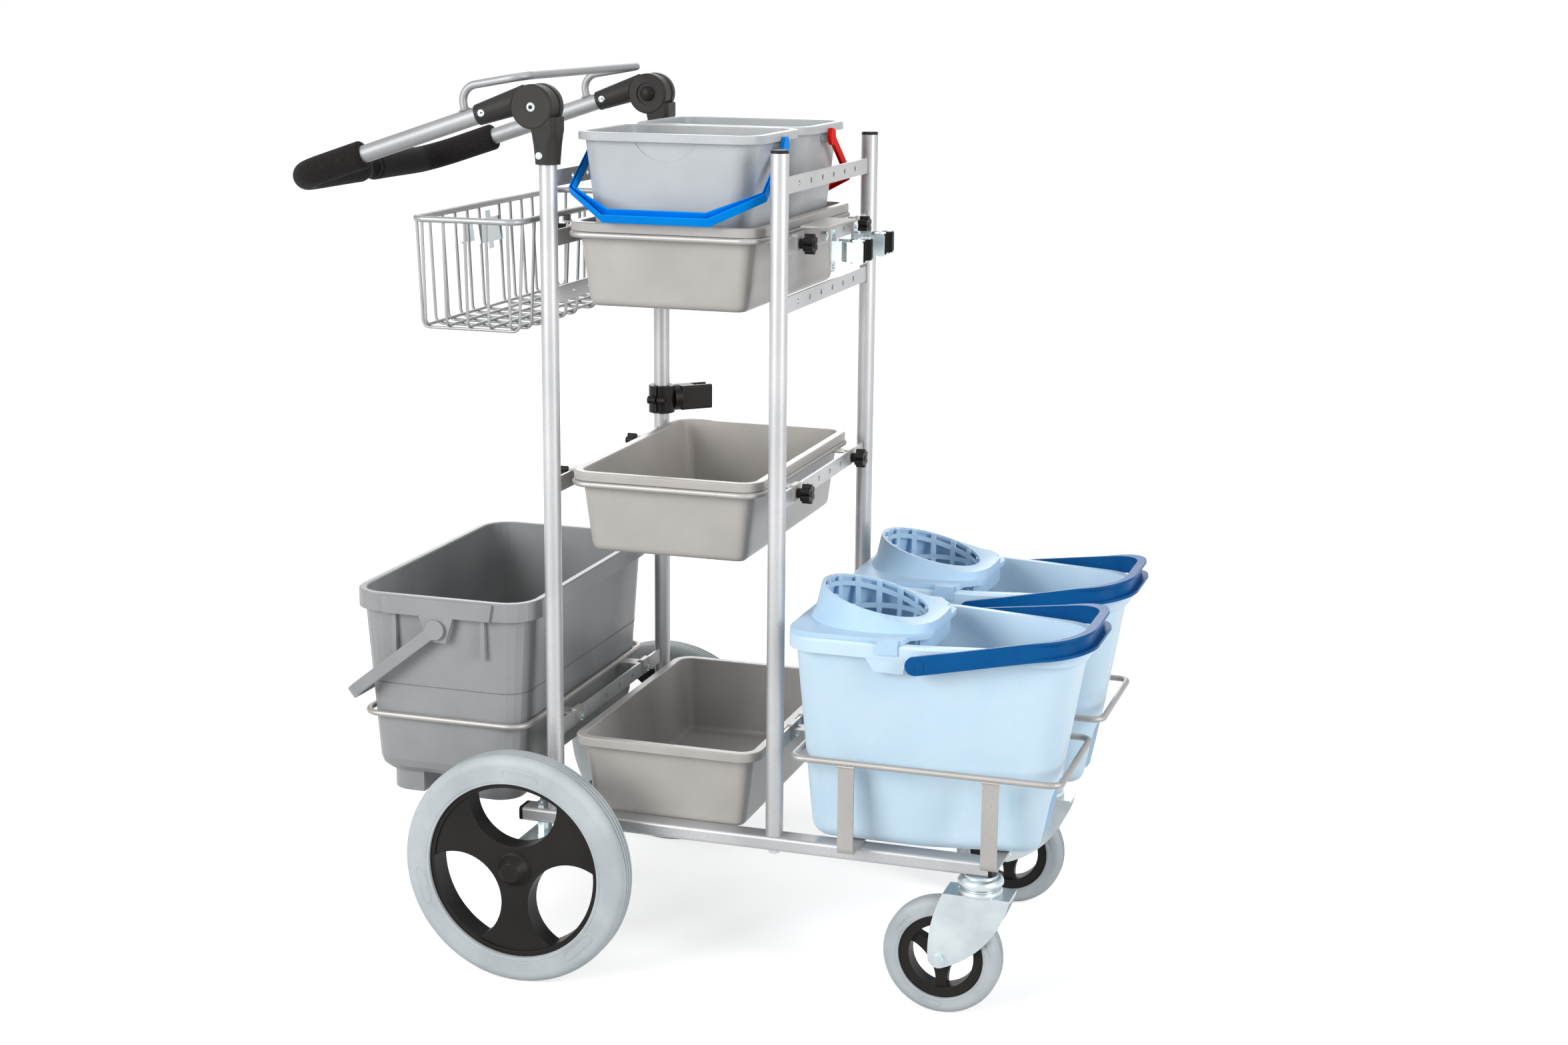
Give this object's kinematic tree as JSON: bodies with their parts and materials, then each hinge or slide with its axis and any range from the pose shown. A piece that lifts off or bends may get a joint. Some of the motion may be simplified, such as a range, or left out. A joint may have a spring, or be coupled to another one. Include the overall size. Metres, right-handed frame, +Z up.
{
  "type": "janitor cart",
  "caption": "Cleaning trolley: ladder frame on large rear wheels and swivel casters, with tilting push handle, trays, pails, mop buckets with wringers, wire basket and tool clips.",
  "frame": {"origin": "on the floor, under the middle of the cart's overall box", "axes": "+X forward to the mop buckets, away from the push handle; +Y to the cart's left; +Z up"},
  "size_m": [1.056, 0.596, 1.1357],
  "materials": {
    "frame_paint": "satin silver-grey powder coat",
    "zinc": "bright zinc plate",
    "basket_wire": "satin silver coat on wire",
    "black_plastic": "moulded, fine grain",
    "roller_rubber": "ribbed soft rubber",
    "grey_tyre": "pale grey non-marking rubber",
    "foam": "closed-cell foam",
    "tray_plastic": "moulded, satin",
    "bucket_plastic": "moulded, satin",
    "dark_plastic": "moulded, satin",
    "ice_plastic": "moulded, slightly translucent",
    "navy_plastic": "moulded",
    "blue_plastic": "moulded",
    "red_plastic": "moulded"
  },
  "bodies": {
    "cart_frame": {"side_rails": "frame_paint", "tube_plugs": "black_plastic", "rear_ladder": "frame_paint", "front_ladder": "frame_paint", "frame_bolts": "zinc", "axle_channel": "zinc", "wheel_axle": "zinc", "caster_heads": "zinc", "tray_holders": "frame_paint", "rear_bucket_holder": "frame_paint", "front_bucket_holder": "frame_paint", "clip_bracket": "frame_paint", "clip_springs": "zinc", "clip_rollers": "roller_rubber", "tool_clamp_collar": "black_plastic", "handle_joints": "black_plastic", "handle_pivots": "black_plastic"},
    "rear_wheel_near": {"rear_hub_near": "black_plastic", "rear_tyre_near": "grey_tyre"},
    "caster_swivel_near": {"caster_fork_near": "zinc", "caster_axle_near": "zinc"},
    "caster_wheel_near": {"caster_rim_near": "black_plastic", "caster_tyre_near": "grey_tyre"},
    "rear_wheel_far": {"rear_hub_far": "black_plastic", "rear_tyre_far": "grey_tyre"},
    "caster_swivel_far": {"caster_fork_far": "zinc", "caster_axle_far": "zinc"},
    "caster_wheel_far": {"caster_rim_far": "black_plastic", "caster_tyre_far": "grey_tyre"},
    "push_handle": {"arm_sockets": "black_plastic", "handle_frame": "frame_paint", "foam_grips": "foam", "grip_plugs": "black_plastic"},
    "top_tray": {"top_tray": "tray_plastic"},
    "mid_tray": {"mid_tray": "tray_plastic"},
    "bottom_tray": {"bottom_tray": "tray_plastic"},
    "small_bucket_near": {"small_bucket_near": "bucket_plastic"},
    "small_bail_near": {"small_bail_near": "blue_plastic"},
    "small_bucket_far": {"small_bucket_far": "bucket_plastic"},
    "small_bail_far": {"small_bail_far": "red_plastic"},
    "rear_bucket": {"rear_bucket": "dark_plastic"},
    "rear_bail": {"rear_bail": "dark_plastic"},
    "mop_bucket_near": {"mop_bucket_near": "ice_plastic"},
    "mop_bail_near": {"mop_bail_near": "navy_plastic"},
    "wringer_near": {"wringer_near": "ice_plastic"},
    "mop_bucket_far": {"mop_bucket_far": "ice_plastic"},
    "mop_bail_far": {"mop_bail_far": "navy_plastic"},
    "wringer_far": {"wringer_far": "ice_plastic"},
    "wire_basket": {"wire_basket": "basket_wire", "basket_clip": "zinc", "basket_clip_rollers": "roller_rubber"},
    "knob_top_front_near": {"knob_top_front_near": "black_plastic"},
    "knob_top_front_far": {"knob_top_front_far": "black_plastic"},
    "knob_top_rear_near": {"knob_top_rear_near": "black_plastic"},
    "knob_top_rear_far": {"knob_top_rear_far": "black_plastic"},
    "knob_mid_front_near": {"knob_mid_front_near": "black_plastic"},
    "knob_mid_front_far": {"knob_mid_front_far": "black_plastic"},
    "knob_mid_rear_near": {"knob_mid_rear_near": "black_plastic"},
    "knob_mid_rear_far": {"knob_mid_rear_far": "black_plastic"},
    "tool_clamp_jaw": {"tool_clamp_jaw": "black_plastic"}
  },
  "joints": [
    {"name": "rear_wheel_near_spin", "type": "hinge", "parent": "cart_frame", "child": "rear_wheel_near", "pos_m": [-0.1836, -0.27, 0.15], "axis": [0, 1, 0], "continuous": true},
    {"name": "caster_near_swivel", "type": "hinge", "parent": "cart_frame", "child": "caster_swivel_near", "pos_m": [0.39639, -0.191, 0.16], "axis": [0, 0, 1], "continuous": true},
    {"name": "caster_wheel_near_spin", "type": "hinge", "parent": "caster_swivel_near", "child": "caster_wheel_near", "pos_m": [0.3514, -0.191, 0.075], "axis": [0, 1, 0], "continuous": true},
    {"name": "rear_wheel_far_spin", "type": "hinge", "parent": "cart_frame", "child": "rear_wheel_far", "pos_m": [-0.1836, 0.27, 0.15], "axis": [0, 1, 0], "continuous": true},
    {"name": "caster_far_swivel", "type": "hinge", "parent": "cart_frame", "child": "caster_swivel_far", "pos_m": [0.39639, 0.191, 0.16], "axis": [0, 0, 1], "continuous": true},
    {"name": "caster_wheel_far_spin", "type": "hinge", "parent": "caster_swivel_far", "child": "caster_wheel_far", "pos_m": [0.3514, 0.191, 0.075], "axis": [0, 1, 0], "continuous": true},
    {"name": "handle_tilt", "type": "hinge", "parent": "cart_frame", "child": "push_handle", "pos_m": [-0.17661, 0, 1.095], "axis": [0, 1, 0], "range_deg": [-15, 60]},
    {"name": "top_tray_lift", "type": "slide", "parent": "cart_frame", "child": "top_tray", "axis": [0, 0, 1], "range_m": [0, 0.2]},
    {"name": "mid_tray_lift", "type": "slide", "parent": "cart_frame", "child": "mid_tray", "axis": [0, 0, 1], "range_m": [0, 0.12]},
    {"name": "bottom_tray_lift", "type": "slide", "parent": "cart_frame", "child": "bottom_tray", "axis": [0, 0, 1], "range_m": [0, 0.12]},
    {"name": "small_bucket_near_lift", "type": "slide", "parent": "top_tray", "child": "small_bucket_near", "axis": [0, 0, 1], "range_m": [0, 0.15]},
    {"name": "small_bail_near_swing", "type": "hinge", "parent": "small_bucket_near", "child": "small_bail_near", "pos_m": [-0.01611, -0.098, 1.0501], "axis": [-1, 0, 0], "range_deg": [0, 125]},
    {"name": "small_bucket_far_lift", "type": "slide", "parent": "top_tray", "child": "small_bucket_far", "axis": [0, 0, 1], "range_m": [0, 0.15]},
    {"name": "small_bail_far_swing", "type": "hinge", "parent": "small_bucket_far", "child": "small_bail_far", "pos_m": [-0.01611, 0.098, 1.0501], "axis": [1, 0, 0], "range_deg": [0, 125]},
    {"name": "rear_bucket_lift", "type": "slide", "parent": "cart_frame", "child": "rear_bucket", "axis": [0, 0, 1], "range_m": [0, 0.25]},
    {"name": "rear_bail_swing", "type": "hinge", "parent": "rear_bucket", "child": "rear_bail", "pos_m": [-0.31361, 0, 0.436], "axis": [0, 1, 0], "range_deg": [0, 125]},
    {"name": "mop_bucket_near_lift", "type": "slide", "parent": "cart_frame", "child": "mop_bucket_near", "axis": [0, 0, 1], "range_m": [0, 0.2]},
    {"name": "mop_bail_near_swing", "type": "hinge", "parent": "mop_bucket_near", "child": "mop_bail_near", "pos_m": [0.32289, -0.137, 0.458], "axis": [0, -1, 0], "range_deg": [0, 80]},
    {"name": "wringer_near_lift", "type": "slide", "parent": "mop_bucket_near", "child": "wringer_near", "axis": [0, 0, 1], "range_m": [0, 0.12]},
    {"name": "mop_bucket_far_lift", "type": "slide", "parent": "cart_frame", "child": "mop_bucket_far", "axis": [0, 0, 1], "range_m": [0, 0.2]},
    {"name": "mop_bail_far_swing", "type": "hinge", "parent": "mop_bucket_far", "child": "mop_bail_far", "pos_m": [0.32289, 0.137, 0.458], "axis": [0, -1, 0], "range_deg": [0, 80]},
    {"name": "wringer_far_lift", "type": "slide", "parent": "mop_bucket_far", "child": "wringer_far", "axis": [0, 0, 1], "range_m": [0, 0.12]},
    {"name": "wire_basket_lift", "type": "slide", "parent": "cart_frame", "child": "wire_basket", "axis": [0, 0, 1], "range_m": [0, 0.04]},
    {"name": "knob_top_front_near_turn", "type": "hinge", "parent": "cart_frame", "child": "knob_top_front_near", "pos_m": [0.1314, -0.12, 0.935], "axis": [1, 0, 0], "continuous": true},
    {"name": "knob_top_front_far_turn", "type": "hinge", "parent": "cart_frame", "child": "knob_top_front_far", "pos_m": [0.1314, 0.12, 0.935], "axis": [1, 0, 0], "continuous": true},
    {"name": "knob_top_rear_near_turn", "type": "hinge", "parent": "cart_frame", "child": "knob_top_rear_near", "pos_m": [-0.16361, -0.12, 0.935], "axis": [1, 0, 0], "continuous": true},
    {"name": "knob_top_rear_far_turn", "type": "hinge", "parent": "cart_frame", "child": "knob_top_rear_far", "pos_m": [-0.16361, 0.12, 0.935], "axis": [1, 0, 0], "continuous": true},
    {"name": "knob_mid_front_near_turn", "type": "hinge", "parent": "cart_frame", "child": "knob_mid_front_near", "pos_m": [0.1314, -0.12, 0.626], "axis": [1, 0, 0], "continuous": true},
    {"name": "knob_mid_front_far_turn", "type": "hinge", "parent": "cart_frame", "child": "knob_mid_front_far", "pos_m": [0.1314, 0.12, 0.626], "axis": [1, 0, 0], "continuous": true},
    {"name": "knob_mid_rear_near_turn", "type": "hinge", "parent": "cart_frame", "child": "knob_mid_rear_near", "pos_m": [-0.16361, -0.12, 0.626], "axis": [1, 0, 0], "continuous": true},
    {"name": "knob_mid_rear_far_turn", "type": "hinge", "parent": "cart_frame", "child": "knob_mid_rear_far", "pos_m": [-0.16361, 0.12, 0.626], "axis": [1, 0, 0], "continuous": true},
    {"name": "tool_clamp_turn", "type": "hinge", "parent": "cart_frame", "child": "tool_clamp_jaw", "pos_m": [-0.16361, 0.193, 0.676], "axis": [0.7071, 0.7071, 0], "range_deg": [-90, 90]}
  ]
}
